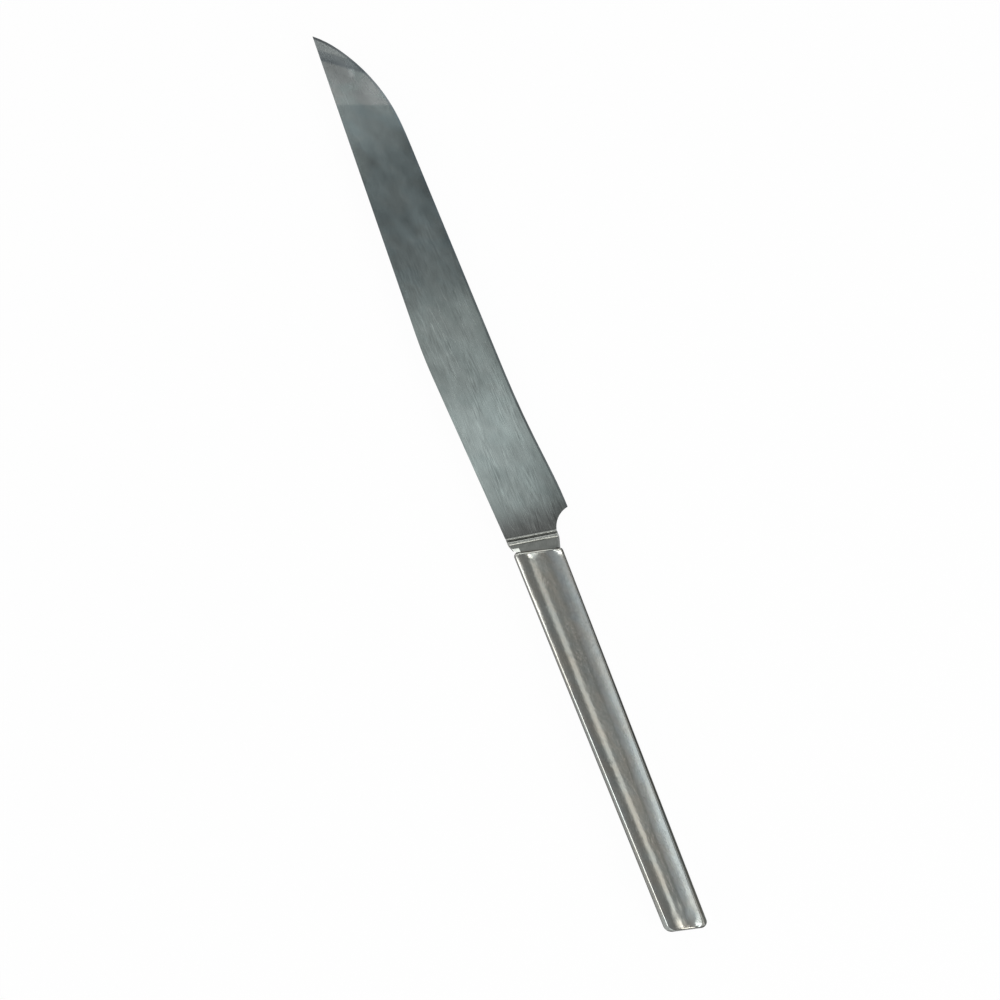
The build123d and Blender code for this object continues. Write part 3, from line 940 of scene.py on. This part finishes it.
def blade_finish():
    """Brushed steel with streaks, clouds, scratches and a differently ground tip, with painted shade
    and highlights at set places.
    """
    material, g = new_graph("blade_finish")
    along = g.distance_along((1, 0))
    # The part towards the tip has fewer streaks and scratches, another colour, and painted shade
    upper = g.mask(along, *UPPER_PART)
    tip = g.mask(g.distance_along(TIP_LINE), *TIP_PART)
    tip_place = g.remap(g.distance_along(TIP_STREAK), *STREAK_PART, 0, 1)
    # Painted shade: darker and warmer near the collar
    foot = g.remap(g.distance_along(FOOT_LINE), *FOOT_PART, 1, 0, smooth=True)

    lines = {
        "fine": g.grain(*BLADE_FINE),
        "crossing": g.grain(*BLADE_CROSSING),
        "broad": g.grain(*BLADE_BROAD),
    }
    worked = g.remap(g.grain(*BLADE_WORKED), *WORKED_PART, *WORKED_STREAKS, smooth=True)
    streaked = g.remap(along, *STREAKS_FADE, 1, UPPER_STREAKS, smooth=True)
    streaked = g.math("MULTIPLY", streaked, worked)
    streaks = g.math("MULTIPLY", g.weighted(0.0, lines, BLADE_STREAKS), streaked)

    scratches = g.hairlines(*BLADE_HAIRLINES)
    for ends in BLADE_SCRATCHES:
        scratches = g.math("MAXIMUM", scratches, g.scratch(*ends, SCRATCH_WIDTH))
    scratches = g.math("MULTIPLY", scratches, g.remap(upper, 0, 1, 1, UPPER_SCRATCHES))

    # Painted shade on the faces that lean sideways, such as the edge's bevel, with less of it near the
    # heel
    bevel = g.remap(g.math("ABSOLUTE", face_normal(g)["Y"]), *BEVEL_NORMALS, 0, 1)
    bevel = g.math("MULTIPLY", bevel, g.remap(along, *BEVEL_PART, HEEL_BEVEL, 1, smooth=True))
    depth = g.remap(along, *EDGE_RUN, *EDGE_DEPTHS)
    from_edge = g.math("ADD", g.distance_along((0, 1)), depth)

    masks = {
        "streaks": streaks,
        "height": g.math("MULTIPLY", streaks, g.remap(tip, 0, 1, 1, TIP_STREAKS)),
        "clouds": g.grain(*BLADE_CLOUDS),
        "mottles": g.grain(*BLADE_MOTTLES),
        "scratches": scratches,
        # Painted highlight near the tip
        "near_tip_highlight": g.ramp(g.remap(along, *NEAR_TIP, 0, 1), NEAR_TIP_SHADES),
        "upper": upper,
        "tip": tip,
        "patch": g.math("MAXIMUM", *(g.scratch(*ends, PATCH_WIDTH) for ends in BLADE_PATCHES)),
        "spot": g.scratch(*TIP_SPOT, SPOT_WIDTH),
        "tip_shade": g.ramp(tip_place, TIP_SHADES),
        "edge_shade_strip": g.remap(from_edge, *EDGE_STRIP, 1, 0, smooth=True),
        "bevel": bevel,
        "foot": foot,
    }
    tone = g.weighted(1.0, masks, BLADE_TONE)
    roughness = g.weighted(BLADE_ROUGHNESS, masks, BLADE_ROUGH)

    tinge = g.mask(g.grain(*BLADE_HUES), *BLADE_HUES_PART)
    wedge = g.mask(tip_place, *WEDGE_PART)
    color = g.blend(upper, BLADE_COLOR, UPPER_COLOR)
    color = g.blend(g.math("MULTIPLY", tinge, TINGE_SHARE), color, BLADE_TINGE)
    color = g.blend(g.math("MULTIPLY", foot, FOOT_SHARE), color, FOOT_COLOR)
    tip_color = g.blend(g.math("MAXIMUM", tinge, wedge), TIP_COLOR, TIP_TINGE)
    color = g.blend(g.math("MULTIPLY", tip, TIP_SHARE), color, tip_color)
    # Painted shade across the tip in its own colour
    color = g.blend(g.remap(masks["tip_shade"], 0.5, DARKEST_TIP, 0, 1), color, TIP_SHADE_COLOR)
    g.metal(g.tinted(tone, color), roughness, masks["height"], BLADE_BUMP, BLADE_BRUSHED)
    return material


def unshaded_walls(g):
    """0 on the walls of the edge side and the butt, and partly on the spine side's wall, where shade is
    painted in, and 1 elsewhere on the handle.
    """
    parts = g.add("ShaderNodeSeparateXYZ", {0: g.place()}).outputs
    half_width = g.remap(parts["X"], -HANDLE_LENGTH, 0, BUTT_WIDTH / 2, MOUTH_WIDTH / 2)
    strip = g.remap(parts["X"], -HANDLE_LENGTH, 0, *EDGE_WALL)
    edge_side = g.math("DIVIDE", g.math("ADD", half_width, parts["Y"]), strip)
    spine_side = g.math("DIVIDE", g.math("SUBTRACT", half_width, parts["Y"]), SPINE_WALL)
    butt_line = (-cos(BUTT_SKEW), sin(BUTT_SKEW))
    from_butt = g.math("SUBTRACT", HANDLE_LENGTH * cos(BUTT_SKEW), g.distance_along(butt_line))
    unshaded = g.mask(edge_side, *EDGE_WALL_PART)
    spine_unshaded = g.remap(spine_side, *SPINE_WALL_PART, SPINE_WALL_UNSHADED, 1, smooth=True)
    unshaded = g.math("MULTIPLY", unshaded, spine_unshaded)
    return g.math("MULTIPLY", unshaded, g.mask(from_butt, *BUTT_WALL_PART))


def handle_finish():
    """Worn satin steel with fine scratches, stains and dark specks, painted shade on its walls and a
    painted highlight on the fold on the spine's side.
    """
    material, g = new_graph("handle_finish")
    masks = {
        "fine": g.grain(*HANDLE_FINE),
        "patches": g.grain(*HANDLE_PATCHES),
        "stains": g.mask(g.grain(*HANDLE_STAINS), *STAINS_PART),
        "peel": g.grain(*HANDLE_PEEL),
        "scratches": g.hairlines(*HANDLE_HAIRLINES),
        "specks": g.mask(g.grain(*HANDLE_SPECKS), *SPECKS_PART),
    }
    unshaded = unshaded_walls(g)
    # Painted highlight: paler metal on the fold on the spine's side
    ridge_highlight = g.ramp(face_normal(g)["Y"], RIDGE_HIGHLIGHT_NORMALS)
    tone = g.weighted(1.0, masks, HANDLE_TONE)
    # Painted shade: darker metal on the walls
    tone = g.math("MULTIPLY", tone, g.remap(unshaded, 0, 1, SHADED_WALL_TONE, 1))
    tone = g.math("MULTIPLY", tone, g.remap(ridge_highlight, 0, 1, 1, RIDGE_HIGHLIGHT_TONE))
    tinge = g.remap(g.grain(*HANDLE_HUES), *HANDLE_HUES_PART, 0, 1)
    color = g.tinted(tone, g.blend(tinge, HANDLE_COOL, HANDLE_WARM))
    roughness = g.weighted(HANDLE_ROUGHNESS, masks, HANDLE_ROUGH)
    height = g.weighted(0.0, masks, HANDLE_HEIGHT)
    # The walls with painted shade also reflect less at low angles
    grazing = g.remap(unshaded, 0, 1, SHADED_WALL_GRAZING, HANDLE_GRAZING)
    g.metal(color, roughness, height, HANDLE_BUMP, grazing=grazing)
    return material


def collar_finish():
    """Satin steel, brushed along the knife, with painted shade on the neck and in the grooves and a
    painted highlight on the facets at the neck's end.
    """
    material, g = new_graph("collar_finish")
    place = g.remap(g.distance_along(FOOT_LINE), GROOVES_FROM, GROOVES_TO, 0, 1)
    length = GROOVES_TO - GROOVES_FROM
    masks = {
        "fine": g.grain(*COLLAR_FINE),
        "patches": g.grain(*COLLAR_PATCHES),
        # Painted shade on the neck, in the groove and at the joint with the blade
        "painted_shade": g.ramp(place, [((stop - GROOVES_FROM) / length, shade) for stop, shade in COLLAR_PAINTED_SHADE]),
        # Painted highlight on the facets at the neck's end
        "facet": g.ramp(face_normal(g)["Y"], FACET_HIGHLIGHT_NORMALS),
    }
    tone = g.weighted(1.0, masks, COLLAR_TONE)
    roughness = g.weighted(COLLAR_ROUGHNESS, masks, COLLAR_ROUGH)
    g.metal(g.tinted(tone, COLLAR_COLOR), roughness, masks["fine"], COLLAR_BUMP)
    return material


def braze_finish():
    """Dull solder with an uneven surface."""
    material, g = new_graph("braze_finish")
    masks = {"patches": g.grain(*BRAZE_PATCHES)}
    tone = g.weighted(1.0, masks, BRAZE_TONE)
    roughness = g.weighted(BRAZE_ROUGHNESS, masks, BRAZE_ROUGH)
    g.metal(g.tinted(tone, BRAZE_COLOR), roughness, masks["patches"], BRAZE_BUMP)
    return material


def cement_finish():
    """Grainy brown cement inside the handle."""
    material, g = new_graph("cement_finish")
    masks = {"grains": g.grain(*CEMENT_GRAINS), "patches": g.grain(*CEMENT_PATCHES)}
    inputs = {"Height": masks["grains"], "Distance": CEMENT_BUMP, "Strength": 1.0}
    bump = g.add("ShaderNodeBump", inputs)
    inputs = {
        "Base Color": g.tinted(g.weighted(1.0, masks, CEMENT_TONE), CEMENT_COLOR),
        "Roughness": g.weighted(CEMENT_ROUGHNESS, masks, CEMENT_ROUGH),
        "Normal": bump.outputs[0],
    }
    shader = g.add("ShaderNodeBsdfPrincipled", inputs)
    g.add("ShaderNodeOutputMaterial", {"Surface": shader.outputs[0]})
    return material


# The scene

handle_steel = handle_finish()
dull_braze = braze_finish()
handle_shell("worn_shell_front", "handle_shell_front", 1, FRONT_SEED, handle_steel)
handle_shell("worn_shell_back", "handle_shell_back", -1, BACK_SEED, handle_steel)
eased_collar(collar_finish())

for node_name, material in {
    "blade": blade_finish(),
    "seam_braze": dull_braze,
    "mouth_braze": dull_braze,
    "tang_cement": cement_finish(),
}.items():
    nodes[node_name].data.materials[0] = material

make_floor()
make_world()
for lamp_name, lean, *size_and_place in LAMPS:
    softbox(lamp_name, radians(lean), *size_and_place)
place_camera()
bpy.context.scene.view_settings.view_transform = "Standard"
